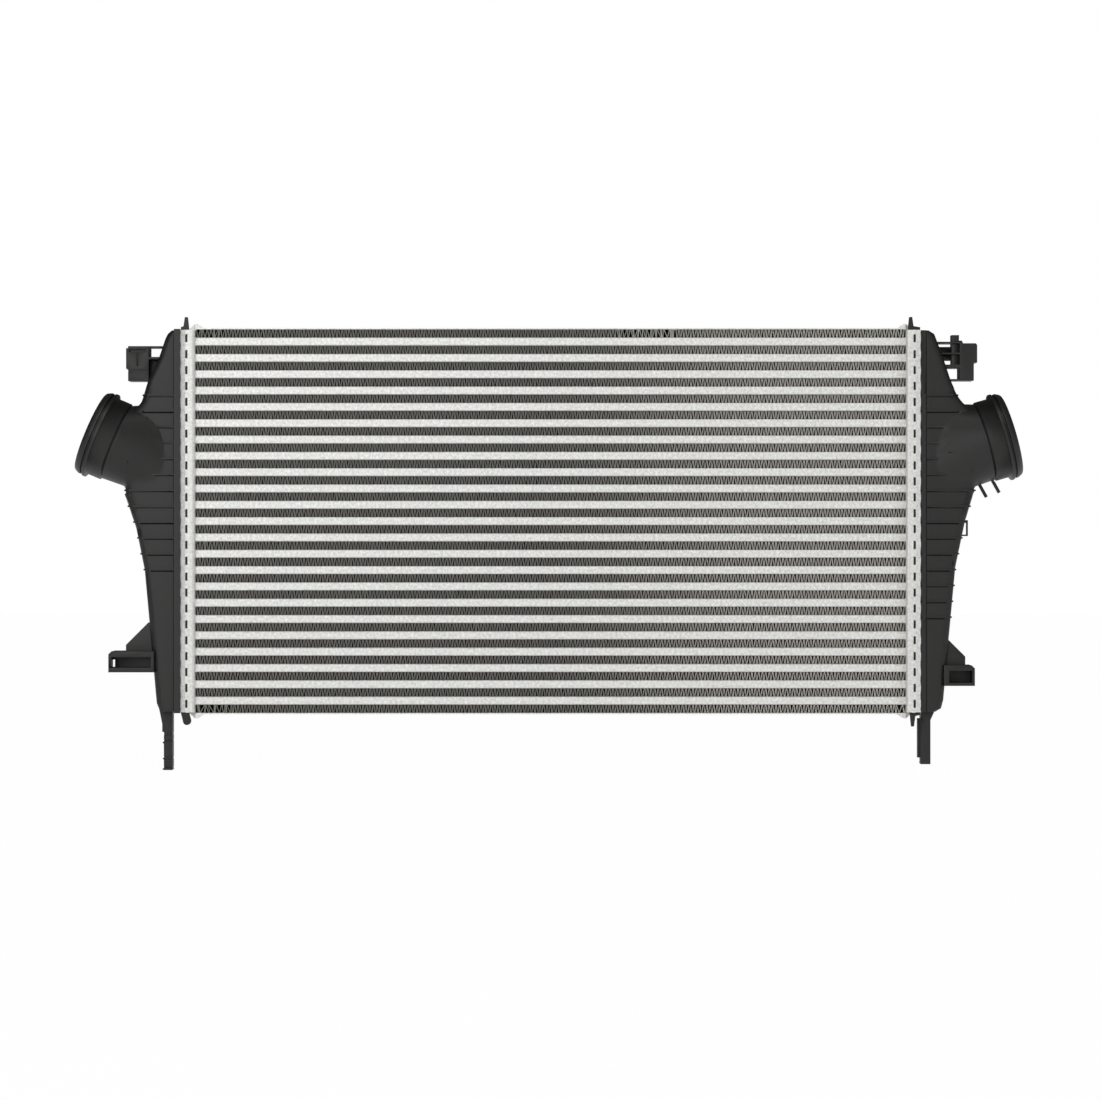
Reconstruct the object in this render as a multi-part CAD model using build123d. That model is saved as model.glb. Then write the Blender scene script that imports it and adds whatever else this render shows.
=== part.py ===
from build123d import *
import os
from math import cos, sin, radians

# Charge-air cooler: a brazed core of flat tubes and folded fins between two
# header plates, each crimped over the foot of a moulded plastic end tank.
# X runs to the viewer's right, Z up, and Y from the front of the core to its back.
# The origin is the middle of the core's front face.
# Header plates and tanks are drawn as those on the +X side: reach is the distance
# outwards from the core's end, height is Z. The left ones are mirrored into place.

# Core
tube_count = 23
tube_height = 8.0
fin_height = 8.0
core_depth = 32.0
core_length = 696.0
tube_wall = 0.5
tube_corner = 0.8
tube_reach = 4.0            # length of tube end inside the tank, past the header floor

# Folded fins between the tubes
fin_folds = 6
fin_foil = 0.4
fin_end_gap = 1.0

# Folded strips inside the tubes
turbulator_folds = 2
turbulator_foil = 0.4
turbulator_gap = 0.05
turbulator_setback = 3.0    # from the tube's end to the strip's end

# Header plates
header_margin = 8.0         # from the core's front face to the header's
header_end_inset = 1.0      # from the core's upper edge down to the header's end
header_floor = 1.6
header_wall = 1.5
header_bend = 3.0
header_wall_height = 10.2   # straight part of the long walls
crimp_height = 4.2          # strip that is bent over the tank's foot
crimp_lean = 1.8
crimp_slot_count = 24
crimp_slot_end = 8.3        # from the header's end to the first slot's middle
crimp_slot_length = 8.0
crimp_slot_width = 2.3
end_wall_height = 9.4
header_tab_rise = 6.2
header_tab_width = 8.4

# Gaskets
gasket_height = 2.4
gasket_width = 3.6
gasket_gap = 0.1            # from the ring to the bend of the header's walls

# Side plates
side_sheet = 1.2
side_tab_length = 7.5
side_tab_rise = 4.4

# End tanks, both
tank_wall = 3.0
tank_gap = 0.3              # from the foot to the header's walls and strip
foot_rim = 4.8              # width of the rim that presses on the gasket
collar_reach = 5.1          # band outside the crimped strip
collar_step = 0.6           # the body's front lies this far behind the band's
tank_edge = 6.5             # rounding of the body's outer edges
tank_inner_edge = 2.0       # flat across the cavity's outer corners
rib_width = 1.6
rib_rise = 1.0

# Hose necks
sleeve_radius = 40.0
shoulder_drop = 1.5         # from the sleeve down to the duct behind it
bead_rise = 3.6             # these three stand out from the sleeve
groove_rise = 0.6
lip_rise = 2.7
sleeve_length = 15.0
bead_length = 3.6
groove_length = 1.6
lip_length = 6.8
lip_taper = 4.5             # the lip's outer part, that narrows to guide the hose
lip_drop = 2.4
sleeve_overlap = 1.4
neck_reach = 79.2           # the shoulder's centre
neck_height = 78.0
duct_root_reach = 30.0
duct_root_height = 68.0
duct_root_half = 48.0

# Outer edge of each tank's body, from the top down: (reach, share of its half length)
left_outline = [
    (23.5, 1.0), (27.3, 0.982), (29.8, 0.955), (35.7, 0.861), (46.6, 0.737), (53.0, 0.625),
    (69.6, 0.14), (58.3, -0.034), (49.9, -0.257), (45.4, -0.522), (39.4, -0.885), (38.1, -0.958),
    (34.5, -1.0)]
right_outline = [
    (22.9, 1.0), (28.3, 0.982), (31.1, 0.944), (37.3, 0.854), (44.5, 0.738), (53.0, 0.634),
    (67.9, 0.162), (58.5, 0.0), (49.0, -0.241), (43.0, -0.586), (37.2, -0.938), (35.0, -0.982),
    (29.3, -1.0)]
left_tilt = 23.0            # the neck's rise above level
right_tilt = 16.0
left_ribs = range(8, -4, -1)
right_ribs = range(8, -7, -1)
rib_shift = -0.9

# End lugs over the header's ends, their tips measured out from those ends
lug_front = -18.0
lug_back = -12.0
lug_arm = 3.2
lug_lift = 0.8
lug_root = 2.0              # how far a lug's root runs back along the header
lug_spike = 2.6
left_spike_reach = 8.9
left_spike_tip = 12.8
right_spike_reach = 5.0
right_spike_tip = 13.0
ball_radius = 3.9
ball_reach = 8.2
ball_drop = 8.9
fang_reach = 6.8
fang_tip = 14.2

# Sheets and blocks of the brackets. The heights of the upper ones are measured from
# the header's upper end, those of the lower ones and of the legs from its lower end.
bracket_sheet = 1.5
bracket_half_depth = 12.0
web_half = 2.0
pocket_depth = 20.0

# Left tank, upper bracket
left_clip_inner = 46.3
left_clip_outer = 68.5
left_clip_top = -15.2
left_clip_waist = -38.7
left_clip_base = -49.5
left_clip_step = 2.0
left_arm_top = -25.8
left_arm_base = -43.5
left_arm_sheet = 2.3
left_slot_height = 3.1
left_slot_depth = 4.0
left_groove = 1.2

# Left tank, lower bracket
left_frame_outer = 84.5
left_frame_inner = 40.0
left_frame_top = 59.6
left_frame_height = 20.6
left_frame_front = -23.0
left_frame_back = 7.0
left_frame_bevel = 3.0
left_pocket_wall = 3.0
left_pocket_sill = 4.6
left_pocket_height = 10.3
left_slit = 2.1
left_slit_wall = 0.9
left_gusset_reach = 68.6
left_gusset_top = 87.6
left_gusset_foot = 6.0
gusset_front = -12.0
gusset_back = 0.0

# Right tank, upper bracket
right_post_inner = 46.2
right_post_outer = 53.6
right_post_top = -4.0
right_post_half = 6.0
right_clip_outer = 70.7
right_clip_top = -12.4
right_clip_waist = -31.4
right_clip_base = -49.0
right_clip_step = 3.3
right_clip_bevel = 1.5
right_shelf_top = -23.2
right_shelf_base = -29.1
right_bar_top = -33.3
right_bar_base = -36.6

# Right tank, lower bracket
right_frame_outer = 67.2
right_frame_inner = 37.0
right_frame_top = 45.8
right_frame_height = 20.1
right_frame_front = -22.0
right_frame_back = 6.0
right_frame_bevel = 3.0
right_pocket_wall = 2.5
right_pocket_sill = 3.1
right_pocket_height = 11.8
right_gusset_reach = 59.0
right_gusset_top = 72.8
right_gusset_foot = 8.3

# Legs under the tanks
leg_half_depth = 7.0
left_leg_outer = 30.4
left_leg_inner = 21.9
left_leg_tip = -57.6
left_leg_shoulder = -20.1
left_leg_swell = 1.6
left_leg_slope = -12.2
leg_tooth = 1.6
leg_teeth = (-30.8, -46.6, -56.8)
right_leg_outer = 25.4
right_leg_inner = 15.9
right_leg_tip = -51.8
right_leg_shoulder = -8.5
right_strip_inner = 13.0
right_strip_top = -6.9
right_strip_tip = -45.5

# Hooks under the right duct, placed by their share of the way out to the shoulder
hook_width = 3.0
hook_length = 15.0
hook_lean = 29.0
hook_sink = 1.4             # how deep a hook's root sits in the duct's wall
hook_shares = (0.734, 0.945)

# Loop on the right tank's side
loop_outer = 62.8
loop_top = 1.1
loop_height = 15.7
loop_sheet = 1.5

cut_margin = 1.0            # how far a cutter runs past the face that it opens

# Lengths that follow from the ones above
core_half = core_length / 2
tube_pitch = tube_height + fin_height
mid_y = core_depth / 2
core_half_height = (tube_count + 1) * tube_pitch / 2 - tube_height / 2
header_depth = core_depth + 2 * header_margin
header_half_length = core_half_height - header_end_inset
crimp_slot_pitch = 2 * (header_half_length - crimp_slot_end) / (crimp_slot_count - 1)
gasket_out = header_floor + gasket_height
strip_end = header_wall_height + crimp_height
collar_out = strip_end + collar_reach
wall_inside = header_depth / 2 - header_wall
foot_half_depth = wall_inside - tank_gap
collar_half_depth = wall_inside - crimp_lean - tank_gap
body_half_depth = collar_half_depth - collar_step
foot_half_length = header_half_length - header_wall - tank_gap
body_half_length = header_half_length - tank_gap / 3
neck_length = sleeve_length + bead_length + groove_length + lip_length
bore_radius = sleeve_radius - tank_wall
shoulder_radius = sleeve_radius - shoulder_drop
bead_radius = sleeve_radius + bead_rise
groove_radius = sleeve_radius + groove_rise
lip_radius = sleeve_radius + lip_rise

os.makedirs("parts", exist_ok=True)


def save(node, shape):
    """Write one piece, moved from the core's mid plane to its front face."""
    export_step(Pos(0, mid_y, 0) * shape, f"parts/{node}.step")


def box_between(x0, x1, y0, y1, z0, z1):
    middle = Pos((x0 + x1) / 2, (y0 + y1) / 2, (z0 + z1) / 2)
    return middle * Box(x1 - x0, y1 - y0, z1 - z0)


def plate(outline, y0, y1):
    """A flat outline of (reach, height) points, given its thickness along Y."""
    face = make_face(Plane.XZ * Polyline(*outline, close=True))
    return Pos(0, y0, 0) * extrude(face, y1 - y0, dir=(0, 1, 0))


def row_height(row, rows):
    return ((rows - 1) / 2 - row) * tube_pitch


# Core pieces
def tube():
    length = core_length + 2 * (header_floor + tube_reach)
    outer = Box(length, core_depth, tube_height)
    outer = chamfer(outer.edges().filter_by(Axis.X), tube_corner)
    return outer - Box(length, core_depth - 2 * tube_wall, tube_height - 2 * tube_wall)


def folded_strip(span, height, foil, folds, depth):
    """Foil folded up and down between two flat walls, its folds along Y."""
    step = span / (2 * folds)
    upper = []
    lower = []
    for turn in range(2 * folds + 1):
        along = turn * step - span / 2
        crest = height / 2 if turn % 2 else foil - height / 2
        upper.append((along, crest))
        lower.append((along, crest - foil))
    outline = upper + lower[::-1]
    return plate(outline, -depth / 2, depth / 2)


def turbulators():
    length = core_length + 2 * (header_floor + tube_reach - turbulator_setback)
    span = core_depth - 2 * tube_wall - 2 * turbulator_gap
    height = tube_height - 2 * tube_wall - 2 * turbulator_gap
    strip = Rot(0, 0, 90) * folded_strip(span, height, turbulator_foil, turbulator_folds, length)
    return Compound([Pos(0, 0, row_height(row, tube_count)) * strip for row in range(tube_count)])


def side_plate():
    """Thin cover over the outermost fin, its ends turned up against the headers."""
    under = core_half_height
    over = under + side_sheet
    tab_foot = core_half - side_tab_length
    tip = over + side_tab_rise
    right = [(core_half, under), (core_half, tip), (core_half - side_sheet, tip), (tab_foot, over)]
    left = [(-reach, height) for reach, height in reversed(right)]
    return plate(right + left, -core_depth / 2, core_depth / 2)


# Header plate
def header_section(inset):
    """The channel seen along Z; inset is 0 for its outside and 1 for its inside."""
    half = header_depth / 2 - inset * header_wall
    floor = inset * header_floor
    lean = crimp_lean
    outline = Polyline(
        (floor, -half), (header_wall_height, -half), (strip_end, lean - half),
        (strip_end, half - lean), (header_wall_height, half), (floor, half), close=True)
    face = make_face(outline)
    corners = face.vertices().sort_by(Axis.X)[:2]
    return fillet(corners, header_bend - inset * header_wall)


def prism(face, half_length):
    return Pos(0, 0, -half_length) * extrude(face, 2 * half_length, dir=(0, 0, 1))


def header_plate():
    pan = prism(header_section(0), header_half_length)
    pan -= prism(header_section(1), header_half_length - header_wall)
    end_depth = header_depth / 2 - crimp_lean - header_wall
    for end in (-1, 1):
        far = end * (header_half_length + cut_margin)
        near = end * (header_half_length - header_wall)
        pan -= box_between(end_wall_height, strip_end + cut_margin, -end_depth, end_depth,
                           min(near, far), max(near, far))
    for row in range(tube_count):
        pan -= Pos(0, 0, row_height(row, tube_count)) * tube_window()
    for slot in range(crimp_slot_count):
        height = ((crimp_slot_count - 1) / 2 - slot) * crimp_slot_pitch
        cutter = Box(crimp_slot_width, header_depth + 2 * cut_margin, crimp_slot_length)
        pan -= Pos(header_wall_height - crimp_slot_width / 2, 0, height) * cutter
    for end in (-1, 1):
        tip = end * (header_half_length + header_tab_rise)
        root = end * (header_half_length - header_wall)
        outline = [(0, root), (header_tab_width, root), (header_floor, tip), (0, tip)]
        pan += plate(outline, lug_back + tank_gap, core_depth / 2)
    return pan


def tube_window():
    window = Box(2 * (header_floor + cut_margin), core_depth, tube_height)
    return chamfer(window.edges().filter_by(Axis.X), tube_corner)


def gasket():
    inset = header_bend - header_wall + gasket_gap
    half_depth = wall_inside - inset
    half_length = header_half_length - header_wall - inset
    ring = box_between(header_floor, gasket_out, -half_depth, half_depth, -half_length, half_length)
    hole_depth = half_depth - gasket_width
    hole_length = half_length - gasket_width
    hole = box_between(header_floor, gasket_out, -hole_depth, hole_depth, -hole_length, hole_length)
    return ring - hole


# End tank
def tank_points(shares):
    return [(reach, share * body_half_length) for reach, share in shares]


def body_section(reach, height, inset):
    """The body cut level at one height: flat towards the core, its outer corners rounded."""
    half = body_half_depth - inset
    outer = reach - inset
    face = make_face(Polyline(
        (strip_end, -half), (outer, -half), (outer, half), (strip_end, half), close=True))
    corners = face.vertices().sort_by(Axis.X)[-2:]
    face = chamfer(corners, tank_inner_edge) if inset else fillet(corners, tank_edge)
    return Pos(0, 0, height) * face


def tank_body(points, inset):
    """Straight-sided runs between the outline's points, drawn in by a wall if asked."""
    sections = [body_section(reach, height, inset) for reach, height in points[1:-1]]
    top_reach, top = points[0]
    bottom_reach, bottom = points[-1]
    first = body_section(top_reach, top - inset, inset)
    last = body_section(bottom_reach, bottom + inset, inset)
    return loft([last, *reversed(sections), first], ruled=True)


def reach_at(points, height):
    """Reach of the body's outer edge at a height."""
    for (reach_a, height_a), (reach_b, height_b) in zip(points, points[1:]):
        if height_a >= height >= height_b:
            share = (height_a - height) / (height_a - height_b)
            return reach_a + share * (reach_b - reach_a)
    raise ValueError("height is outside the tank")


def tank_foot():
    """Rim on the gasket, its shoulder under the crimped strip and the band outside it."""
    outline = Polyline(
        (gasket_out, -foot_half_depth), (header_wall_height, -foot_half_depth),
        (strip_end, -collar_half_depth), (strip_end, collar_half_depth),
        (header_wall_height, foot_half_depth), (gasket_out, foot_half_depth), close=True)
    rim = prism(make_face(outline), foot_half_length)
    band = box_between(end_wall_height + tank_gap, collar_out, -collar_half_depth, collar_half_depth,
                       -body_half_length, body_half_length)
    return rim + band


def foot_cavity():
    depth = foot_half_depth - foot_rim
    length = foot_half_length - foot_rim
    return box_between(gasket_out - cut_margin, collar_out + cut_margin, -depth, depth, -length, length)


def neck_plane(tilt):
    """The shoulder's plane: its Z runs out along the neck."""
    along = (cos(radians(tilt)), 0, sin(radians(tilt)))
    return Plane(origin=(neck_reach, 0, neck_height), x_dir=(0, 1, 0), z_dir=along)


def duct(tilt, inset):
    """Passage that grows out of the tank's side and rounds up to the shoulder."""
    root = Plane(origin=(duct_root_reach, 0, duct_root_height), x_dir=(0, 1, 0), z_dir=(1, 0, 0))
    start = root * Ellipse(body_half_depth - inset, duct_root_half - inset)
    end = neck_plane(tilt) * Circle(shoulder_radius - inset)
    return loft([start, end], ruled=True)


def neck(tilt):
    """Sleeve, bead, groove and lip, turned about the neck's axis."""
    bead = sleeve_length + bead_length
    lip = bead + groove_length
    outline = Polyline(
        (0, -sleeve_overlap), (sleeve_radius, -sleeve_overlap), (sleeve_radius, sleeve_length),
        (bead_radius, sleeve_length), (bead_radius, bead), (groove_radius, bead),
        (groove_radius, lip), (lip_radius, lip), (lip_radius, neck_length - lip_taper),
        (lip_radius - lip_drop, neck_length), (0, neck_length), close=True)
    turned = revolve(make_face(Plane.XZ * outline), Axis.Z)
    return neck_plane(tilt) * turned


def bore(tilt):
    length = neck_length + 2 * cut_margin
    cutter = Cylinder(bore_radius, length, align=(Align.CENTER, Align.CENTER, Align.MIN))
    return neck_plane(tilt) * Pos(0, 0, -cut_margin) * cutter


def rib(points, height):
    """Thin fin round three sides of the body, its two outer corners cut off."""
    reach = reach_at(points, height) + rib_rise
    half = body_half_depth + rib_rise
    cut = tank_edge - rib_rise
    outline = Polyline(
        (strip_end, -half), (reach - cut, -half), (reach, cut - half),
        (reach, half - cut), (reach - cut, half), (strip_end, half), close=True)
    return Pos(0, 0, height - rib_width / 2) * extrude(make_face(outline), rib_width, dir=(0, 0, 1))


def tank_shell(points, tilt, ribs):
    """The hollow moulding without its brackets: the solid outside and the space inside."""
    outside = tank_foot() + tank_body(points, 0) + duct(tilt, 0) + neck(tilt)
    for step in ribs:
        outside += rib(points, step * crimp_slot_pitch + rib_shift)
    inside = foot_cavity() + tank_body(points, tank_wall) + duct(tilt, tank_wall) + bore(tilt)
    return outside, inside


def bracket_box(reach_a, reach_b, height_a, height_b, half=bracket_half_depth):
    return box_between(reach_a, reach_b, -half, half, height_a, height_b)


def left_upper_bracket():
    """Clip housing held off the tank by a top sheet and a webbed arm."""
    body = plate([
        (left_clip_inner, left_clip_top), (left_clip_outer - left_clip_step, left_clip_top),
        (left_clip_outer - left_clip_step, left_clip_top - left_clip_step),
        (left_clip_outer, left_clip_top - left_clip_step),
        (left_clip_outer, left_clip_waist + bracket_sheet),
        (left_clip_outer - left_clip_step, left_clip_waist),
        (left_clip_outer - left_clip_step, left_clip_base), (left_clip_inner, left_clip_base)],
        -bracket_half_depth, bracket_half_depth)
    slot_top = left_clip_top - 2 * bracket_sheet
    body -= box_between(left_clip_inner + 2 * bracket_sheet, left_clip_outer - 2 * bracket_sheet,
                        -bracket_half_depth - cut_margin, left_slot_depth - bracket_half_depth,
                        slot_top - left_slot_height, slot_top)
    middle = (left_clip_inner + left_clip_outer) / 2
    body -= box_between(middle - left_groove / 2, middle + left_groove / 2,
                        -bracket_half_depth - cut_margin, left_groove - bracket_half_depth,
                        left_clip_waist + 2 * left_clip_step, slot_top)
    body -= box_between(left_clip_inner - cut_margin, left_clip_outer + cut_margin,
                        -bracket_half_depth - cut_margin, left_groove - bracket_half_depth,
                        left_clip_waist - left_groove, left_clip_waist)
    body += bracket_box(collar_out, left_clip_inner, left_clip_top - bracket_sheet, left_clip_top)
    body += bracket_box(collar_out, left_clip_inner, left_arm_top - left_arm_sheet, left_arm_top)
    body += bracket_box(collar_out, left_clip_inner, left_arm_base, left_arm_top, web_half)
    body += bracket_box(collar_out, left_clip_inner, left_clip_base, left_clip_base + bracket_sheet)
    return body


def socket_frame(inner, outer, top, height, front, back, bevel):
    """Block with one upper corner cut off, that the pocket is sunk into."""
    return plate([
        (inner, top), (outer - bevel, top), (outer, top - bevel), (outer, top - height),
        (inner, top - height)], front, back)


def gusset(reach, top, foot, frame_top, inner):
    """Sloping web between the tank's side and the frame below it."""
    return plate([
        (inner, top), (reach - (top - frame_top - foot), top), (reach, frame_top + foot),
        (reach, frame_top), (inner, frame_top)], gusset_front, gusset_back)


def left_lower_bracket():
    body = socket_frame(left_frame_inner, left_frame_outer, left_frame_top, left_frame_height,
                        left_frame_front, left_frame_back, left_frame_bevel)
    base = left_frame_top - left_frame_height + left_pocket_sill
    slit_outer = left_frame_outer - left_slit_wall
    body -= box_between(left_frame_inner + left_pocket_wall, slit_outer - left_slit,
                        left_frame_front - cut_margin, left_frame_front + pocket_depth,
                        base, base + left_pocket_height)
    body -= box_between(slit_outer - left_slit - cut_margin, slit_outer,
                        left_frame_front - cut_margin, left_frame_back + cut_margin,
                        base, base + left_pocket_height - left_pocket_wall)
    return body + gusset(left_gusset_reach, left_gusset_top, left_gusset_foot,
                         left_frame_top, left_frame_inner)


def right_upper_bracket():
    """Post and clip housing on a sheet, a shelf, a bar and a base sheet."""
    body = plate([
        (right_post_outer, right_clip_top), (right_clip_outer - right_clip_bevel, right_clip_top),
        (right_clip_outer, right_clip_top - right_clip_bevel), (right_clip_outer, right_clip_waist),
        (right_clip_outer - right_clip_step, right_clip_waist),
        (right_clip_outer - right_clip_step, right_clip_base), (right_post_outer, right_clip_base)],
        -bracket_half_depth, bracket_half_depth)
    body += bracket_box(right_post_inner, right_post_outer,
                        right_bar_base, right_post_top, right_post_half)
    body += bracket_box(right_post_outer, right_post_outer + 2 * bracket_sheet,
                        right_clip_top, right_clip_top + 2 * bracket_sheet, right_post_half)
    body += bracket_box(collar_out, right_post_outer + 2 * bracket_sheet,
                        right_clip_top, right_clip_top + bracket_sheet)
    body += bracket_box(collar_out, right_post_outer, right_shelf_top, right_shelf_top + bracket_sheet)
    body += bracket_box(collar_out, right_post_inner,
                        right_shelf_base, right_clip_top - 2 * bracket_sheet, web_half)
    body += bracket_box(collar_out, right_post_outer, right_bar_base, right_bar_top)
    body += bracket_box(collar_out, right_post_outer, right_clip_base, right_clip_base + bracket_sheet)
    return body


def right_lower_bracket():
    body = socket_frame(right_frame_inner, right_frame_outer, right_frame_top, right_frame_height,
                        right_frame_front, right_frame_back, right_frame_bevel)
    base = right_frame_top - right_frame_height + right_pocket_sill
    body -= box_between(right_frame_inner + 2 * right_pocket_wall, right_frame_outer - right_pocket_wall,
                        right_frame_front - cut_margin, right_frame_front + pocket_depth,
                        base, base + right_pocket_height)
    return body + gusset(right_gusset_reach, right_gusset_top, right_gusset_foot,
                         right_frame_top, right_frame_inner)


def left_leg(points):
    """Toothed blade that drops into a rubber socket, under a web from the tank's corner."""
    swell = left_leg_outer + left_leg_swell
    corner_a, corner_b = [
        (reach, height + header_half_length) for reach, height in points[-2:]]
    body = plate([
        corner_a, (corner_b[0] + left_leg_swell, corner_b[1]), (swell, left_leg_slope),
        (swell, left_leg_shoulder), (left_leg_outer, left_leg_shoulder),
        (left_leg_outer, left_leg_tip), (left_leg_inner, left_leg_tip),
        (left_leg_inner, corner_a[1])], -leg_half_depth, leg_half_depth)
    for height in leg_teeth:
        body += plate([
            (left_leg_outer, height + leg_tooth), (left_leg_outer + leg_tooth, height),
            (left_leg_outer, height - leg_tooth / 2)], -leg_half_depth, leg_half_depth)
    return body


def right_leg(points):
    """Blade with a thinner strip along its inner edge."""
    corner_reach, corner_height = points[-1]
    bottom = corner_height + header_half_length
    return plate([
        (corner_reach - tank_wall, bottom + tank_wall), (corner_reach, bottom),
        (right_leg_outer, right_leg_shoulder), (right_leg_outer, right_leg_tip),
        (right_leg_inner, right_leg_tip), (right_leg_inner, right_strip_tip),
        (right_strip_inner, right_strip_tip), (right_strip_inner, right_strip_top),
        (right_leg_inner, right_strip_top), (right_leg_inner, bottom + tank_wall)],
        -leg_half_depth, leg_half_depth)


def lug(spike_reach, tip, end):
    """Arm over the header's end with a thin spike on it; end is 1 at the top."""
    near = header_half_length + lug_lift
    far = near + lug_arm
    back = header_half_length - lug_root
    root = strip_end - tank_gap
    inner = end_wall_height + 2 * tank_gap
    spike = header_half_length + tip
    points = [
        (root, back), (root, far - lug_arm / 3), (spike_reach + lug_spike, far),
        (spike_reach + lug_spike / 2, spike), (spike_reach - lug_spike / 2, spike),
        (spike_reach - lug_spike, near), (inner, near), (inner, back)]
    return plate([(reach, end * height) for reach, height in points], lug_front, lug_back)


def ball_lug():
    """Arm under the header's end that finishes in a round nub."""
    near = header_half_length + lug_lift
    drop = header_half_length + ball_drop
    back = header_half_length - lug_root
    root = strip_end - tank_gap
    inner = end_wall_height + 2 * tank_gap
    arm = plate([
        (root, -back), (root, -near), (ball_reach + ball_radius, -drop),
        (ball_reach - ball_radius, -drop), (end_wall_height - lug_arm, -near),
        (inner, -near), (inner, -back)], lug_front, lug_back)
    nub = Cylinder(ball_radius, lug_back - lug_front)
    return arm + Pos(ball_reach, (lug_front + lug_back) / 2, -drop) * Rot(90, 0, 0) * nub


def duct_underside(tilt, share):
    """Point on the duct's lowest line; share is 0 at its root and 1 at the shoulder."""
    root_reach = duct_root_reach
    root_height = duct_root_height - duct_root_half
    end_reach = neck_reach + shoulder_radius * sin(radians(tilt))
    end_height = neck_height - shoulder_radius * cos(radians(tilt))
    reach = root_reach + share * (end_reach - root_reach)
    height = root_height + share * (end_height - root_height)
    return reach, height


def neck_hook(tilt, share):
    reach, height = duct_underside(tilt, share)
    hook = Box(hook_width, hook_width, hook_length, align=(Align.CENTER, Align.CENTER, Align.MAX))
    return Pos(reach, 0, height + hook_sink) * Rot(0, -hook_lean, 0) * hook


def side_loop():
    """Flat strap that stands off the tank's side and comes back to it."""
    base = loop_top - loop_height
    strap = box_between(collar_out, loop_outer, -web_half, web_half, base, loop_top)
    return strap - box_between(collar_out - cut_margin, loop_outer - loop_sheet,
                               -web_half - cut_margin, web_half + cut_margin,
                               base + loop_sheet, loop_top - loop_sheet)


def left_tank():
    points = tank_points(left_outline)
    outside, inside = tank_shell(points, left_tilt, left_ribs)
    upper = Pos(0, 0, header_half_length)
    lower = Pos(0, 0, -header_half_length)
    outside += upper * left_upper_bracket()
    outside += lower * left_lower_bracket()
    outside += lower * left_leg(points)
    outside += lug(left_spike_reach, left_spike_tip, 1) + ball_lug()
    return outside - inside


def right_tank():
    points = tank_points(right_outline)
    outside, inside = tank_shell(points, right_tilt, right_ribs)
    upper = Pos(0, 0, header_half_length)
    lower = Pos(0, 0, -header_half_length)
    outside += upper * right_upper_bracket()
    outside += lower * right_lower_bracket()
    outside += lower * right_leg(points)
    outside += lug(right_spike_reach, right_spike_tip, 1) + lug(fang_reach, fang_tip, -1)
    for share in hook_shares:
        outside += neck_hook(right_tilt, share)
    outside += side_loop()
    return outside - inside


def right_end(shape):
    return Pos(core_half, 0, 0) * shape


def left_end(shape):
    return mirror(right_end(shape), about=Plane.YZ)


def build():
    tube_solid = tube()
    for row in range(tube_count):
        save(f"tube_{row + 1:02d}", Pos(0, 0, row_height(row, tube_count)) * tube_solid)
    fin = folded_strip(core_length - 2 * fin_end_gap, fin_height, fin_foil, fin_folds, core_depth)
    for row in range(tube_count + 1):
        save(f"fin_{row + 1:02d}", Pos(0, 0, row_height(row, tube_count + 1)) * fin)
    save("turbulators", turbulators())
    save("side_plate_top", side_plate())
    save("side_plate_bottom", mirror(side_plate(), about=Plane.XY))
    header = header_plate()
    ring = gasket()
    save("header_plate_right", right_end(header))
    save("header_plate_left", left_end(header))
    save("gasket_right", right_end(ring))
    save("gasket_left", left_end(ring))
    save("end_tank_left", left_end(left_tank()))
    save("end_tank_right", right_end(right_tank()))


build()
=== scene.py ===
"""Charge-air cooler for a car, dressed and lit as a studio shot.

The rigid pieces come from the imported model. This add-on gives them their finish,
makes the fine forms that stand in for some of them, and sets up the camera, lamps and floor.
"""

import math
import random

import bmesh
import bpy
from bpy.props import FloatProperty, FloatVectorProperty, IntProperty, PointerProperty
from mathutils import Matrix, Vector


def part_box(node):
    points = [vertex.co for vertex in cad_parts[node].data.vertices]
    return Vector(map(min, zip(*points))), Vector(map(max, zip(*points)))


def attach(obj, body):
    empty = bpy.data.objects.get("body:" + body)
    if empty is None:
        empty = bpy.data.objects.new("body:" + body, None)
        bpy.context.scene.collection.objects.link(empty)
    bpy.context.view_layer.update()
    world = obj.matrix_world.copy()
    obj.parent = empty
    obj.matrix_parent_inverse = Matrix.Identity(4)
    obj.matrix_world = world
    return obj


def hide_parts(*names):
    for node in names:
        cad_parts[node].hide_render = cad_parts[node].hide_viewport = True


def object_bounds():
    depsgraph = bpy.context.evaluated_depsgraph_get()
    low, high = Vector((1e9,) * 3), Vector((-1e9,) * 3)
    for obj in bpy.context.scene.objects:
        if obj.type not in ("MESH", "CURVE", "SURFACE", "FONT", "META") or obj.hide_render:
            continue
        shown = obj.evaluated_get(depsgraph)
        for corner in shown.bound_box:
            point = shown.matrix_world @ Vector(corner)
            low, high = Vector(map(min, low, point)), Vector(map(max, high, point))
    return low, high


bl_info = {
    "name": "Charge-air cooler studio",
    "version": (1, 0, 0),
    "blender": (4, 5, 0),
    "location": "View3D > Sidebar > Cooler",
    "description": "Finishes, fine forms and studio of a car's charge-air cooler",
    "category": "Object",
}

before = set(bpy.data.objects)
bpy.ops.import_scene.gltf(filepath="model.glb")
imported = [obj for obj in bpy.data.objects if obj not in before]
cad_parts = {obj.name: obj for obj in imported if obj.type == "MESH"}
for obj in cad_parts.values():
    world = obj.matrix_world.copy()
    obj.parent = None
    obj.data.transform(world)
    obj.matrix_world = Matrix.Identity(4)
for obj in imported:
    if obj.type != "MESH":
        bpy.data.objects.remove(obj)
frame_low, frame_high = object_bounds()

MM = 0.001
CORE_END = 348 * MM
MID_DEPTH = 16 * MM
ROW_PITCH = 15.539 * MM     # from one slot of a header plate, or rib of a tank, to the next
SAME = 0.005 * MM           # vertices nearer than this are one
FLAT_ANGLE = math.radians(0.3)
CORNER_ANGLE = math.radians(60)
SMOOTH_ANGLE = math.radians(35)
LEFT = -1
RIGHT = 1
SIDES = {"left": LEFT, "right": RIGHT}


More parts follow.
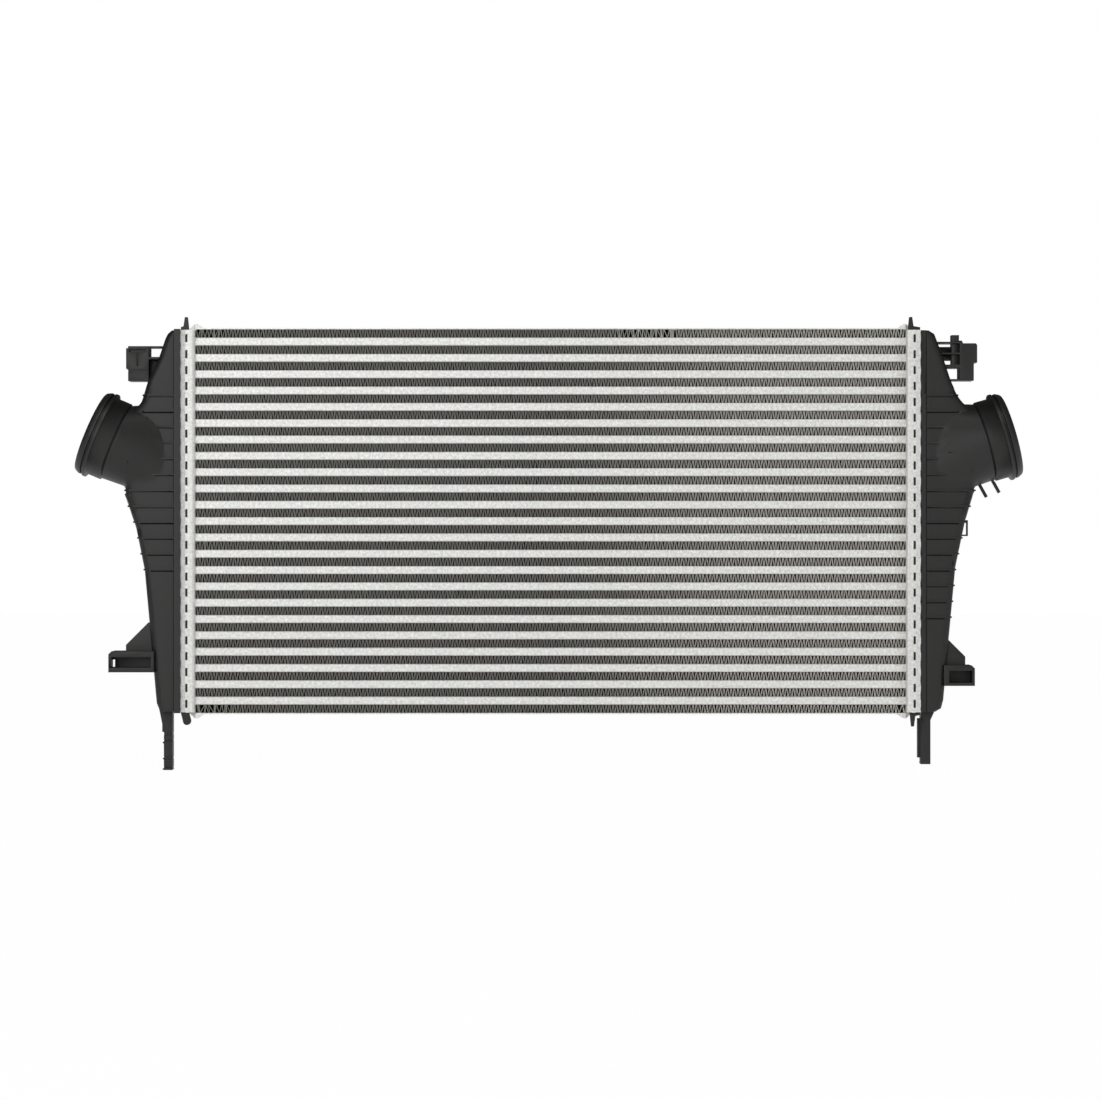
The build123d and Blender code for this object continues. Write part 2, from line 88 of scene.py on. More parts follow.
def nodes_named(start):
    """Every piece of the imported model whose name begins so, in order."""
    return [name for name in sorted(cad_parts) if name.startswith(start)]


# Shader groups
def new_group(name, inputs, outputs):
    """Empty shader group with its sockets: (name, kind, default) and (name, kind)."""
    group = bpy.data.node_groups.new(name, "ShaderNodeTree")
    for label, kind, default in inputs:
        socket = group.interface.new_socket(name=label, in_out="INPUT", socket_type=kind)
        socket.default_value = default
    for label, kind in outputs:
        group.interface.new_socket(name=label, in_out="OUTPUT", socket_type=kind)
    entry = group.nodes.new("NodeGroupInput")
    leave = group.nodes.new("NodeGroupOutput")
    return group, entry, leave


def speckle_group():
    """Colour and height of a cast or brazed skin: large soft patches and fine grains."""
    group, entry, leave = new_group(
        "Speckled skin",
        [("Colour", "NodeSocketColor", (0.5, 0.5, 0.5, 1)),
         ("Patch size", "NodeSocketFloat", 8.0),
         ("Patch depth", "NodeSocketFloat", 0.1),
         ("Grain size", "NodeSocketFloat", 600.0),
         ("Grain depth", "NodeSocketFloat", 0.1)],
        [("Colour", "NodeSocketColor"), ("Height", "NodeSocketFloat")])
    tree = group
    place = tree.nodes.new("ShaderNodeTexCoord")
    patches = tree.nodes.new("ShaderNodeTexNoise")
    patches.inputs["Detail"].default_value = 3
    grains = tree.nodes.new("ShaderNodeTexNoise")
    grains.inputs["Detail"].default_value = 1
    tree.links.new(place.outputs["Object"], patches.inputs["Vector"])
    tree.links.new(place.outputs["Object"], grains.inputs["Vector"])
    tree.links.new(entry.outputs["Patch size"], patches.inputs["Scale"])
    tree.links.new(entry.outputs["Grain size"], grains.inputs["Scale"])
    shade = None
    for noise, depth in ((patches, "Patch depth"), (grains, "Grain depth")):
        centred = tree.nodes.new("ShaderNodeMath")
        centred.operation = "SUBTRACT"
        centred.inputs[1].default_value = 0.5
        scaled = tree.nodes.new("ShaderNodeMath")
        scaled.operation = "MULTIPLY"
        tree.links.new(noise.outputs["Fac"], centred.inputs[0])
        tree.links.new(centred.outputs[0], scaled.inputs[0])
        tree.links.new(entry.outputs[depth], scaled.inputs[1])
        if shade is None:
            shade = scaled
        else:
            both = tree.nodes.new("ShaderNodeMath")
            both.operation = "ADD"
            tree.links.new(shade.outputs[0], both.inputs[0])
            tree.links.new(scaled.outputs[0], both.inputs[1])
            shade = both
    level = tree.nodes.new("ShaderNodeMath")
    level.operation = "ADD"
    level.inputs[1].default_value = 1
    tree.links.new(shade.outputs[0], level.inputs[0])
    tint = tree.nodes.new("ShaderNodeVectorMath")
    tint.operation = "SCALE"
    tree.links.new(entry.outputs["Colour"], tint.inputs[0])
    tree.links.new(level.outputs[0], tint.inputs["Scale"])
    tree.links.new(tint.outputs["Vector"], leave.inputs["Colour"])
    tree.links.new(grains.outputs["Fac"], leave.inputs["Height"])
    return group


# Materials
def new_material(name):
    """Material with only a Principled shader, its tree and that shader."""
    material = bpy.data.materials.new(name)
    material.use_nodes = True
    tree = material.node_tree
    tree.nodes.clear()
    shader = tree.nodes.new("ShaderNodeBsdfPrincipled")
    output = tree.nodes.new("ShaderNodeOutputMaterial")
    tree.links.new(shader.outputs["BSDF"], output.inputs["Surface"])
    return material, tree, shader


def speckled(name, colour, metallic, roughness, patch=(8, 0.1), grain=(600, 0.1), bump=0.0, specular=0.5):
    """Material with a speckled skin; patch and grain are (size, depth)."""
    material, tree, shader = new_material(name)
    skin = tree.nodes.new("ShaderNodeGroup")
    skin.node_tree = bpy.data.node_groups.get("Speckled skin") or speckle_group()
    skin.inputs["Colour"].default_value = (*colour, 1)
    skin.inputs["Patch size"].default_value = patch[0]
    skin.inputs["Patch depth"].default_value = patch[1]
    skin.inputs["Grain size"].default_value = grain[0]
    skin.inputs["Grain depth"].default_value = grain[1]
    tree.links.new(skin.outputs["Colour"], shader.inputs["Base Color"])
    shader.inputs["Metallic"].default_value = metallic
    shader.inputs["Roughness"].default_value = roughness
    shader.inputs["Specular IOR Level"].default_value = specular
    if bump:
        relief = tree.nodes.new("ShaderNodeBump")
        relief.inputs["Strength"].default_value = bump
        relief.inputs["Distance"].default_value = 0.2 * MM
        tree.links.new(skin.outputs["Height"], relief.inputs["Height"])
        tree.links.new(relief.outputs["Normal"], shader.inputs["Normal"])
    return material


def material_named(name, make):
    """The material of that name, made when it is first asked for."""
    return bpy.data.materials.get(name) or make()


def colours():
    """The colours that a user may change."""
    return bpy.context.scene.cooler_finish


def tube_metal():
    """Pale brazed aluminium of the tubes and side plates."""
    return material_named("Brazed tube", lambda: speckled(
        "Brazed tube", colours().tube, metallic=0.3, roughness=0.45,
        patch=(40, 0.12), grain=(380, 0.65), bump=0.3))


def header_metal():
    """Pale pressed aluminium of the header plates."""
    return material_named("Pressed header", lambda: speckled(
        "Pressed header", colours().header, metallic=0.3, roughness=0.45,
        patch=(30, 0.14), grain=(380, 0.6), bump=0.3))


PAINTED_SHADE_DEPTH = 10 * MM        # how far behind the core's faces the foil's tone changes, from the painted highlight on the noses to the painted shade inside
FOIL_PAINTED_DEEP_SHADE = 0.04      # level of the painted shade farther in
FOIL_PAINTED_LIGHT_AND_SHADE = [(0.35, 0.1), (0.5, 0.27), (0.93, 0.32), (0.955, 1.15)]   # (way to the nose, level) of the painted shade, up to the painted highlight on the noses
PAINTED_LIGHT_FROM = -20 * MM       # where the painted light begins to make the foil paler toward the right
PAINTED_LIGHT_TO = 230 * MM         # and where that painted light stops growing
PAINTED_LIGHT_TIMES = 2.2           # how much paler the painted light makes the foil there


def fin_metal():
    """Foil: painted highlights on the cut edges at the core's two faces, painted shade between them, and
    painted light that makes it paler on the right.
    """
    def make():
        material = speckled("Fin foil", colours().foil, metallic=0.2, roughness=0.5,
                            patch=(90, 0.5), grain=(900, 0.3))
        tree = material.node_tree
        skin = [n for n in tree.nodes if n.type == "GROUP"][0]
        shader = [n for n in tree.nodes if n.type == "BSDF_PRINCIPLED"][0]
        place = tree.nodes.new("ShaderNodeTexCoord")
        parts = tree.nodes.new("ShaderNodeSeparateXYZ")
        # Painted light and shade by depth: painted shade deep in the core, a painted highlight on the
        # noses at its two faces
        centred = tree.nodes.new("ShaderNodeMath")
        centred.operation = "SUBTRACT"
        centred.inputs[1].default_value = MID_DEPTH
        outward = tree.nodes.new("ShaderNodeMath")
        outward.operation = "ABSOLUTE"
        nose = tree.nodes.new("ShaderNodeMapRange")
        nose.inputs["From Min"].default_value = MID_DEPTH - PAINTED_SHADE_DEPTH
        nose.inputs["From Max"].default_value = MID_DEPTH
        shade = tree.nodes.new("ShaderNodeValToRGB")
        for place_on_ramp, level in FOIL_PAINTED_LIGHT_AND_SHADE:
            stop = shade.color_ramp.elements.new(place_on_ramp)
            stop.color = (level, level, level, 1)
        shade.color_ramp.elements[0].color = (FOIL_PAINTED_DEEP_SHADE, FOIL_PAINTED_DEEP_SHADE, FOIL_PAINTED_DEEP_SHADE, 1)
        # Painted light: the foil is painted paler toward the right, and this scales the painted shade by
        # depth
        painted_light_ramp = tree.nodes.new("ShaderNodeMapRange")
        painted_light_ramp.interpolation_type = "SMOOTHSTEP"
        painted_light_ramp.inputs["From Min"].default_value = PAINTED_LIGHT_FROM
        painted_light_ramp.inputs["From Max"].default_value = PAINTED_LIGHT_TO
        painted_light_ramp.inputs["To Min"].default_value = 1
        painted_light_ramp.inputs["To Max"].default_value = PAINTED_LIGHT_TIMES
        painted_light_and_shade = tree.nodes.new("ShaderNodeVectorMath")
        painted_light_and_shade.operation = "SCALE"
        mix = tree.nodes.new("ShaderNodeMix")
        mix.data_type = "RGBA"
        mix.blend_type = "MULTIPLY"
        mix.inputs["Factor"].default_value = 1
        tree.links.new(place.outputs["Object"], parts.inputs[0])
        tree.links.new(parts.outputs["X"], painted_light_ramp.inputs["Value"])
        tree.links.new(shade.outputs["Color"], painted_light_and_shade.inputs[0])
        tree.links.new(painted_light_ramp.outputs["Result"], painted_light_and_shade.inputs["Scale"])
        tree.links.new(parts.outputs["Y"], centred.inputs[0])
        tree.links.new(centred.outputs[0], outward.inputs[0])
        tree.links.new(outward.outputs[0], nose.inputs["Value"])
        tree.links.new(nose.outputs["Result"], shade.inputs["Fac"])
        tree.links.new(painted_light_and_shade.outputs["Vector"], mix.inputs["B"])
        tree.links.new(skin.outputs["Colour"], mix.inputs["A"])
        tree.links.new(mix.outputs["Result"], shader.inputs["Base Color"])
        return material
    return material_named("Fin foil", make)


def tank_plastic():
    """Black glass-filled plastic of the end tanks."""
    return material_named("Moulded plastic", lambda: speckled(
        "Moulded plastic", colours().plastic, metallic=0, roughness=0.46,
        patch=(12, 0.3), grain=(1100, 0.5), bump=0.15, specular=0.42))


def gasket_rubber():
    """Dull black rubber of the sealing rings."""
    return material_named("Gasket rubber", lambda: speckled(
        "Gasket rubber", colours().rubber, metallic=0, roughness=0.7))


# Pieces
def dress(name, material):
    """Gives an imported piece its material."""
    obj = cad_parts[name]
    obj.data.materials.clear()
    obj.data.materials.append(material)


def copy_of(name):
    """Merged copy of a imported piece's mesh, its flat faces made whole again."""
    bm = bmesh.new()
    bm.from_mesh(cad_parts[name].data)
    bmesh.ops.remove_doubles(bm, verts=bm.verts, dist=SAME)
    bmesh.ops.dissolve_limit(bm, angle_limit=FLAT_ANGLE, use_dissolve_boundaries=False,
                             verts=bm.verts, edges=bm.edges, delimit=set())
    return bm


def add_piece(name, bm, material, finish, *stands_for):
    """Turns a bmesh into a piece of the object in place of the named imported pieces."""
    bmesh.ops.recalc_face_normals(bm, faces=bm.faces)
    mesh = bpy.data.meshes.new(name)
    bm.to_mesh(mesh)
    bm.free()
    mesh.materials.append(material)
    obj = bpy.data.objects.new(name, mesh)
    bpy.context.scene.collection.objects.link(obj)
    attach(obj, "root")
    if stands_for:
        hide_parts(*stands_for)
    return obj


def bevel_sharp(bm, width, least_angle, segments=2, keep=None):
    """Rounds every edge that turns by more than the angle, or only those that keep allows."""
    edges = [e for e in bm.edges if e.is_manifold and e.calc_face_angle(0) > least_angle]
    if keep:
        edges = [e for e in edges if keep(e)]
    bmesh.ops.bevel(bm, geom=edges, offset=width, segments=segments, profile=0.5, affect="EDGES",
                    clamp_overlap=True, material=-1)


# Sizes and colours that a user may change
class CoolerFinish(bpy.types.PropertyGroup):
    """Colours of the materials"""

    tube: FloatVectorProperty(name="Tube", description="Brazed tubes and side plates",
                              default=(0.80, 0.805, 0.77), subtype="COLOR")
    header: FloatVectorProperty(name="Header", description="Pressed header plates",
                                default=(0.77, 0.768, 0.745), subtype="COLOR")
    foil: FloatVectorProperty(name="Foil", description="Foil of the fins",
                              default=(0.31, 0.298, 0.268), subtype="COLOR")
    plastic: FloatVectorProperty(name="Plastic", description="Moulding of the end tanks",
                                 default=(0.0125, 0.0118, 0.0112), subtype="COLOR")
    rubber: FloatVectorProperty(name="Rubber", description="Sealing rings",
                                default=(0.02, 0.02, 0.02), subtype="COLOR")


class CoolerFins(bpy.types.PropertyGroup):
    """Sizes of the folded foil"""

    pitch: FloatProperty(name="Pitch", description="Length of one whole fold", default=3.4 * MM,
                         unit="LENGTH")
    foil: FloatProperty(name="Foil", description="Thickness of the foil", default=0.45 * MM,
                        unit="LENGTH")
    sway: FloatProperty(name="Sway", description="How far the walls swing sideways in the depth",
                        default=2.4 * MM, unit="LENGTH")
    lean: FloatProperty(name="Lean", description="How far the crests drift along the row",
                        default=0.36 * MM, unit="LENGTH")
    jitter: FloatProperty(name="Jitter", description="Random shift of each crest",
                          default=0.1 * MM, unit="LENGTH")
    crush: FloatProperty(name="Crush", description="Sideways bend of the knocked noses",
                         default=1.4 * MM, unit="LENGTH")
    seed: IntProperty(name="Seed", description="Start of the random shifts", default=7)


class CoolerHeaders(bpy.types.PropertyGroup):
    """Sizes of the header plates"""

    slot_corner: FloatProperty(name="Slot corner", description="Rounding of the slots' ends",
                               default=1.0 * MM, unit="LENGTH")
    wave: FloatProperty(name="Wave", description="How far the crimped strip dips between slots",
                        default=0.7 * MM, unit="LENGTH")
    slot_pitch: FloatProperty(name="Slot pitch", description="From one slot to the next",
                              default=ROW_PITCH, unit="LENGTH")


class CoolerTanks(bpy.types.PropertyGroup):
    """Sizes of the end tanks"""

    wall: FloatProperty(name="Wall", description="Thickness of the moulding", default=3 * MM,
                        unit="LENGTH")
    edge: FloatProperty(name="Edge", description="Rounding of the body's outer corners",
                        default=6.5 * MM, unit="LENGTH")
    voxel: FloatProperty(name="Voxel", description="Grid on which body and duct are joined",
                         default=1.6 * MM, unit="LENGTH")
    blend: IntProperty(name="Blend", description="Rounds of smoothing where the duct leaves the body",
                       default=30)
    turns: IntProperty(name="Turns", description="Flats round a neck", default=128)


class CoolerStage(bpy.types.PropertyGroup):
    """Camera, lamps and surroundings"""

    distance: FloatProperty(name="Distance", description="From the core's face to the camera",
                            default=3.3, unit="LENGTH")
    width: FloatProperty(name="Width", description="Width of the picture at the core's face",
                         default=1.078, unit="LENGTH")
    height: FloatProperty(name="Height", description="Height of the camera above the core's middle",
                          default=-28.3 * MM, unit="LENGTH")
    key: FloatProperty(name="Key", description="Power of the large lamp on the left", default=13.2,
                       unit="POWER")
    fill: FloatProperty(name="Fill", description="Power of the large lamp on the right", default=19,
                        unit="POWER")
    top: FloatProperty(name="Top", description="Power of the lamp overhead", default=10, unit="POWER")
    sky: FloatProperty(name="Sky", description="Level of the light from the front", default=0.55)
    sky_behind: FloatProperty(name="Sky behind", description="Level of the light from the sides and back",
                              default=0.07)


# Fins
COLUMNS_PER_CREST = 3
COLUMNS_PER_FOLD = 2 * COLUMNS_PER_CREST
CREST_ROUNDING = 0.14       # share of the pitch
CREST_DROP = 0.8            # share of the height where the rounding ends
WANDER_KEEP = 0.82          # how much of its place a crest takes from the one before
WANDER_STEP = 0.45
DEPTH_STEPS = 4
DEPTH_PATH = [(0.0, 0.0), (0.3, 0.1), (0.62, 1.0), (1.0, -1.0)]    # (share of the depth, swing)
BENT_FOLDS = {              # (from, to) along the row
    "fin_01": [(-CORE_END, -319 * MM), (65 * MM, 122 * MM)],
    "fin_24": [(-CORE_END, -314 * MM), (339 * MM, CORE_END)],
}


def crest_profile(column):
    """Where a column stands in its fold: (share of the pitch, share of the height)."""
    return {
        0: (0.0, 1.0),
        1: (CREST_ROUNDING, CREST_DROP),
        2: (0.5 - CREST_ROUNDING, -CREST_DROP),
        3: (0.5, -1.0),
        4: (0.5 + CREST_ROUNDING, -CREST_DROP),
        5: (1 - CREST_ROUNDING, CREST_DROP),
    }[column]


def drift(count, luck):
    """Random numbers about -1 to 1 that wander from one to the next."""
    level = 0.0
    levels = []
    for _ in range(count):
        level = WANDER_KEEP * level + luck.gauss(0, WANDER_STEP)
        levels.append(max(-1.0, min(1.0, level)))
    return levels


def fold_row(sizes, name, luck):
    """One strip of foil folded up and down between two tubes."""
    low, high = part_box(name)
    folds = round((high.x - low.x) / sizes.pitch)
    pitch = (high.x - low.x) / folds
    middle = (low.z + high.z) / 2
    rise = (high.z - low.z - sizes.foil) / 2
    depth = high.y - low.y
    columns = folds * COLUMNS_PER_FOLD
    turns = 2 * folds + 2
    wander = drift(turns, luck)
    crests = [wander[n] * sizes.lean * (1 if n % 2 else -1) / 2 + luck.gauss(0, 1) * sizes.jitter
              for n in range(turns)]
    knocks = [luck.uniform(-1, 1) * sizes.crush for _ in range(turns)]
    bm = bmesh.new()
    bmesh.ops.create_grid(bm, x_segments=columns, y_segments=DEPTH_STEPS - 1, size=1)
    for vert in bm.verts:
        column = round((vert.co.x + 1) / 2 * columns)
        step = round((vert.co.y + 1) / 2 * (DEPTH_STEPS - 1))
        share, crest = crest_profile(column % COLUMNS_PER_FOLD)
        along = (column // COLUMNS_PER_FOLD + share) * pitch + low.x
        turn = round(column / COLUMNS_PER_CREST)
        back, swing = DEPTH_PATH[step]
        shift = crests[turn] + swing * sizes.sway
        if step == 0 and any(start < along < end for start, end in BENT_FOLDS.get(name, [])):
            shift += knocks[turn]
        along = min(max(along + shift, low.x), high.x)
        vert.co = (along, low.y + sizes.foil / 2 + back * (depth - sizes.foil), middle + rise * crest)
    return bm


class COOLER_OT_fold_fins(bpy.types.Operator):
    """Folds the foil strips between the tubes"""

    bl_idname = "cooler.fold_fins"
    bl_label = "Fold fins"

    def execute(self, context):
        sizes = context.scene.cooler_fins
        for row, name in enumerate(nodes_named("fin")):
            luck = random.Random(sizes.seed + row)
            strip = add_piece(f"folded_{name}", fold_row(sizes, name, luck), fin_metal(), "fin", name)
            foil = strip.modifiers.new("Foil", "SOLIDIFY")
            foil.thickness = sizes.foil
            foil.offset = 0
        return {"FINISHED"}


# Core
class COOLER_OT_dress_core(bpy.types.Operator):
    """Gives the tubes, side plates, gaskets and inner strips their finish"""

    bl_idname = "cooler.dress_core"
    bl_label = "Dress core"

    def execute(self, context):
        for name in nodes_named("tube"):
            dress(name, tube_metal())
        for name in nodes_named("side_plate"):
            dress(name, tube_metal())
        for name in nodes_named("gasket"):
            dress(name, gasket_rubber())
        dress("turbulators", fin_metal())
        return {"FINISHED"}


# Header plates
SLOT_REACH = 10.2 * MM      # outer ends of the slots, from the core's end
SLOT_WIDTH = 2.3 * MM
SLOT_SHIFT = 1.0 * MM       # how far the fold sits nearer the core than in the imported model
STRIP_REACH = 14.4 * MM     # outer edge of the crimped strip
SLOT_CORNERS_FROM = 7 * MM  # nothing nearer the core than this is a slot's corner
SLOT_END_MARGIN = 3 * MM    # nor anything nearer than this to the plate's ends
PLAIN_END = 8 * MM          # stretch at each end where the strip stays straight
CUTS_PER_SLOT = 4
SLOT_NEAR = 0.05 * MM       # vertices as near as this to a slot's side belong to it
PAST_SLOT = 0.1 * MM


def pressed_header(sizes, name, side):
    """Header plate with rounded slots and a strip that dips where it was crimped."""
    low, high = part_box(name)
    core_end = low.x if side == RIGHT else -high.x
    slot_end = core_end + SLOT_REACH
    strip_end = core_end + STRIP_REACH
    bm = copy_of(name)

    def at_slot_corner(edge):
        a, b = edge.verts
        across = abs(a.co.x - b.co.x) + abs(a.co.z - b.co.z) < 0.01 * MM
        reach = side * a.co.x
        inside = abs(a.co.z) < high.z - SLOT_END_MARGIN
        return across and inside and core_end + SLOT_CORNERS_FROM < reach < slot_end + PAST_SLOT

    for vert in bm.verts:
        reach = side * vert.co.x - core_end
        from_outer = abs(reach - SLOT_REACH)
        from_inner = abs(reach - SLOT_REACH + SLOT_WIDTH)
        if min(from_outer, from_inner) < SLOT_NEAR:
            vert.co.x -= side * SLOT_SHIFT
    bevel_sharp(bm, sizes.slot_corner, CORNER_ANGLE, segments=3, keep=at_slot_corner)
    rows = int(2 * high.z / sizes.slot_pitch * CUTS_PER_SLOT)
    for row in range(rows + 1):
        height = (row - rows / 2) * sizes.slot_pitch / CUTS_PER_SLOT
        near = [f for f in bm.faces if max(side * v.co.x for v in f.verts) > slot_end + PAST_SLOT]
        edges = {e for f in near for e in f.edges}
        verts = {v for f in near for v in f.verts}
        bmesh.ops.bisect_plane(bm, geom=list(verts) + list(edges) + near, dist=0.001 * MM,
                               plane_co=(0, 0, height), plane_no=(0, 0, 1))
    for vert in bm.verts:
        share = (side * vert.co.x - slot_end) / (strip_end - slot_end)
        if share > 0.05 and abs(vert.co.z) < high.z - PLAIN_END:
            phase = vert.co.z / sizes.slot_pitch + 0.5
            dip = (1 - math.cos(2 * math.pi * phase)) / 2
            vert.co.x -= side * sizes.wave * dip * min(share, 1)
    return bm


class COOLER_OT_press_headers(bpy.types.Operator):
    """Finishes the two header plates"""

    bl_idname = "cooler.press_headers"
    bl_label = "Press headers"

    def execute(self, context):
        sizes = context.scene.cooler_headers
        for word, side in SIDES.items():
            name = f"header_plate_{word}"
            add_piece(f"pressed_header_{word}", pressed_header(sizes, name, side), header_metal(),
                      "header", name)
        return {"FINISHED"}


# End tanks, drawn as the one on the right: reach is measured outwards from the core's end
BODY_HALF_DEPTH = 19.8 * MM
BODY_HALF_LENGTH = 186.9 * MM
BODY_ROOT = 13 * MM
BODY_BASE = 60 * MM         # reach of the block before it is drawn out to the outline
BODY_LEVELS = 96
BODY_EXTRA = 0.1 * MM       # how much fuller the body is before it is smoothed
FIT = 0.02 * MM             # how much the cuts round body and duct stand outside them
EDGE_BREAK = 0.4 * MM

# Ducts
DUCT_REACH = 30 * MM
DUCT_HEIGHT = 62 * MM
DUCT_HALF = 42 * MM
DUCT_FLATS = 72
DUCT_STEPS = 24
DUCT_SHORT = 0.2 * MM       # how far before the shoulder the joined duct ends
DUCT_PAST = 0.5 * MM        # how far past the shoulder its cut ends
SOFT_REACH = 36 * MM        # duct and body are blended farther out than this,
SOFT_LOW = 8 * MM           # between these heights
SOFT_HIGH = 130 * MM
SOFT_END = -5 * MM          # and up to this distance along the neck's axis

# Necks: radii, and distances along the axis from the shoulder
NECK_REACH = 79.2 * MM
NECK_HEIGHT = 78 * MM
SHOULDER_RADIUS = 37.8 * MM
BORE_RADIUS = 37 * MM
ROOT_START = -4 * MM        # where the neck's ring begins, inside the duct's end
ROOT_RADIUS = 37.4 * MM
SLEEVE_RADIUS = 40 * MM
SLEEVE_END = 15 * MM
BEAD_RADIUS = 43.6 * MM
BEAD_END = 18.6 * MM
GROOVE_RADIUS = 40.6 * MM
GROOVE_END = 20.2 * MM
LIP_RADIUS = 42.7 * MM
LIP_FLAT_END = 22.5 * MM
LIP_TAPER_RADIUS = 40.8 * MM
LIP_TAPER_END = 26.2 * MM
NECK_END = 27 * MM
MOUTH_CUT = (-0.5 * MM, 5 * MM)         # opens the joined duct's end
SLEEVE_CUT = (-1.45 * MM, 34 * MM)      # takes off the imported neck's sleeve
BEAD_CUT = (10 * MM, 34 * MM)           # and its bead, groove and lip
BEAD_CUT_RADIUS = 46 * MM
CUT_FLATS = 96

# Collars over the foot of each tank
COLLAR_START = 14.2 * MM
COLLAR_GROOVE = 19.4 * MM
COLLAR_END = 20.3 * MM
COLLAR_HALF_DEPTH = 20.41 * MM
GROOVE_HALF_DEPTH = 18.9 * MM
PAST_FACE = 24 * MM         # half depth beyond the tank's faces

# Ribs on the front and back faces
RIB_SHIFT = -0.9 * MM
RIB_WIDTH = 1.6 * MM
RIB_STEPS = {"left": range(8, -4, -1), "right": range(8, -7, -1)}
RIB_GROOVE_WIDTH = 0.9 * MM
RIB_GROOVE_DEPTH = 0.8 * MM
RIB_GROOVE_PAST = 0.5 * MM
RIB_GROOVE_MARGIN = 5 * MM  # from a groove's end to the tank's outline
DUCT_BAND = (30 * MM, 112 * MM)     # heights where the duct ends the grooves sooner,
DUCT_BAND_REACH = 52 * MM           # at this reach

# Brackets and legs
BRACKET_REACH = 19.6 * MM
UPPER_BRACKETS = 135 * MM
LOWER_BRACKETS = -95 * MM
BELOW_TANK = -188 * MM
LEG_HALF_DEPTH = 7 * MM
LEG_TOP = -186.8 * MM
LEG_INNER = 21 * MM
LEG_OUTER = 33 * MM
LEG_SHIFT = 1.6 * MM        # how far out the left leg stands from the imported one
LEG_BAND_REACH = (18 * MM, 34 * MM)
LEG_BAND_DEPTH = 2 * MM
LEG_BANDS = [(-209.1 * MM, 3.0 * MM), (-215.4 * MM, 2.4 * MM), (-232.4 * MM, 3.6 * MM),
             (-242.2 * MM, 1.6 * MM)]   # (height of the middle, width)
INNER_STRIP_REACH = (11.2 * MM, 16 * MM)
INNER_STRIP_HEIGHT = (-237 * MM, -193 * MM)
INNER_STRIP_DEPTH = 4 * MM

# Tilt of each duct, and outer edge of each body: (reach, height) in millimetres, from the top down
TILTS = {"left": math.radians(23), "right": math.radians(16)}
OUTLINES = {
    "left": [(23.5, 186.9), (27.3, 183.5), (29.8, 178.5), (35.7, 160.9), (46.6, 137.7), (53.0, 116.8),
             (57.0, 112.6), (61.0, 108.4), (69.6, 26.2), (58.3, -6.4), (49.9, -48.0), (45.4, -97.6),
             (39.4, -165.4), (38.1, -179.1), (34.5, -186.9)],
    "right": [(22.9, 186.9), (28.3, 183.5), (31.1, 176.4), (37.3, 159.6), (44.5, 137.9), (51.0, 123.6),
              (57.0, 115.5), (63.8, 110.0), (67.9, 30.3), (58.5, 0.0), (49.0, -45.0), (43.0, -109.5),
              (37.2, -175.3), (35.0, -183.5), (29.3, -186.9)],
}


def reach_at(outline, height):
    """Reach of the body's outer edge at a height, along the runs between its points."""
    for (reach_a, top), (reach_b, bottom) in zip(outline, outline[1:]):
        if top * MM >= height >= bottom * MM:
            share = (top * MM - height) / ((top - bottom) * MM)
            return (reach_a + share * (reach_b - reach_a)) * MM
    return (outline[0] if height > 0 else outline[-1])[0] * MM


def body_block(sizes, outline, inset, root):
    """Closed body of a tank: a block with rounded corners, drawn out to the outline."""
    half = BODY_HALF_DEPTH - inset
    tall = BODY_HALF_LENGTH - max(inset, 0)
    bm = bmesh.new()
    bmesh.ops.create_cube(bm, size=1)
    for vert in bm.verts:
        vert.co.x = BODY_BASE - inset if vert.co.x > 0 else root
        vert.co.y = math.copysign(half, vert.co.y)
        vert.co.z = math.copysign(tall, vert.co.z)
    corners = [e for e in bm.edges
               if all(v.co.x > root + MM for v in e.verts)
               and abs(e.verts[0].co.z - e.verts[1].co.z) > tall]
    bmesh.ops.bevel(bm, geom=corners, offset=max(sizes.edge - inset, MM), segments=6, profile=0.5,
                    affect="EDGES", material=-1)
    for level in range(1, BODY_LEVELS):
        height = tall * (2 * level / BODY_LEVELS - 1)
        bmesh.ops.bisect_plane(bm, geom=bm.verts[:] + bm.edges[:] + bm.faces[:], dist=0.0001 * MM,
                               plane_co=(0, 0, height), plane_no=(0, 0, 1))
    for vert in bm.verts:
        if vert.co.x > root + MM:
            vert.co.x += reach_at(outline, vert.co.z) - BODY_BASE
    return bm


def neck_matrix(tilt):
    """Place of the neck's shoulder, its local Z running out along the neck."""
    lean = Matrix.Rotation(math.radians(90) - tilt, 4, "Y")
    return Matrix.Translation((NECK_REACH, 0, NECK_HEIGHT)) @ lean


def add_duct(bm, tilt, inset, beyond=0.0):
    """Closed passage from a flat oval inside the body to the round shoulder."""
    start = Matrix.Translation((DUCT_REACH, 0, DUCT_HEIGHT)) @ Matrix.Rotation(math.radians(90), 4, "Y")
    end = neck_matrix(tilt) @ Matrix.Translation((0, 0, beyond))
    ring = bmesh.ops.create_circle(bm, cap_ends=False, segments=DUCT_FLATS, radius=1)["verts"]
    spots = [vert.co.copy() for vert in ring]
    round_radius = SHOULDER_RADIUS - inset

    def place(share):
        for vert, spot in zip(ring, spots):
            oval = Vector((spot.x * (DUCT_HALF - inset), spot.y * (BODY_HALF_DEPTH - inset), 0))
            circle = Vector((spot.x * round_radius, spot.y * round_radius, 0))
            vert.co = (start @ oval).lerp(end @ circle, share)

    place(0)
    first = list(ring)
    edges = list({e for v in ring for e in v.link_edges})
    for step in range(1, DUCT_STEPS + 1):
        grown = bmesh.ops.extrude_edge_only(bm, edges=edges)["geom"]
        fresh = {g for g in grown if isinstance(g, bmesh.types.BMVert)}
        edges = [g for g in grown if isinstance(g, bmesh.types.BMEdge) and set(g.verts) <= fresh]
        ring = [next(e.other_vert(v) for e in v.link_edges if e.other_vert(v) in fresh) for v in ring]
        place(step / DUCT_STEPS)
    bm.faces.new(first)
    bm.faces.new(ring)


